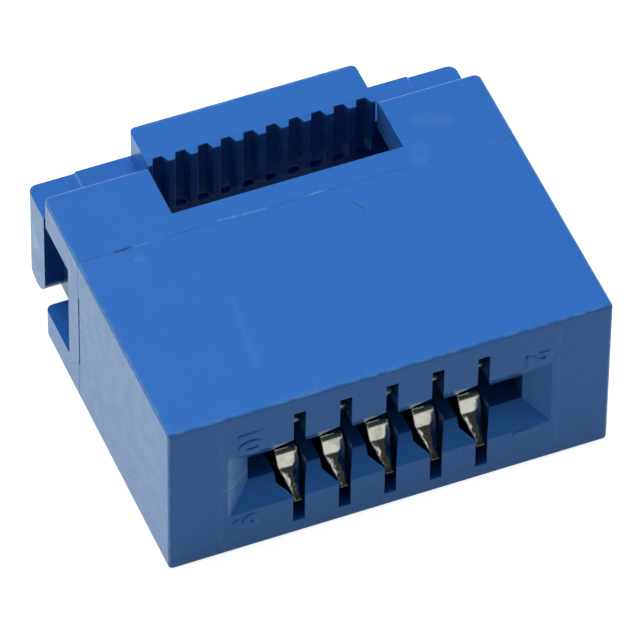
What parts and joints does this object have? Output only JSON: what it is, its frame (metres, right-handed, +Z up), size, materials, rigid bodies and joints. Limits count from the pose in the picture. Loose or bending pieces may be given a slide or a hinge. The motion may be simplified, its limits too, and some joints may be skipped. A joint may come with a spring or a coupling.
{
  "type": "card edge connector",
  "caption": "Blue card edge connector for flat ribbon cable: a 2.54 mm pitch card slot in front, forked wire contacts inside and a ribbed press-on rear cover in its open position",
  "frame": {"origin": "middle of the footprint, on the bottom face", "axes": "+X along the contact row to the end where the count starts, +Y from the card side to the cable side, +Z up"},
  "size_m": [0.0244, 0.0208, 0.0104],
  "materials": {
    "blue_plastic": "moulded blue thermoplastic, semi-matte with fine speckle",
    "tin_contact": "copper alloy sheet with bright tin plating"
  },
  "bodies": {
    "root": {"front_housing": "blue_plastic", "rear_housing": "blue_plastic", "cover": "blue_plastic", "contact_lower_1": "tin_contact", "contact_lower_2": "tin_contact", "contact_lower_3": "tin_contact", "contact_lower_4": "tin_contact", "contact_lower_5": "tin_contact", "contact_upper_1": "tin_contact", "contact_upper_2": "tin_contact", "contact_upper_3": "tin_contact", "contact_upper_4": "tin_contact", "contact_upper_5": "tin_contact"}
  },
  "joints": []
}
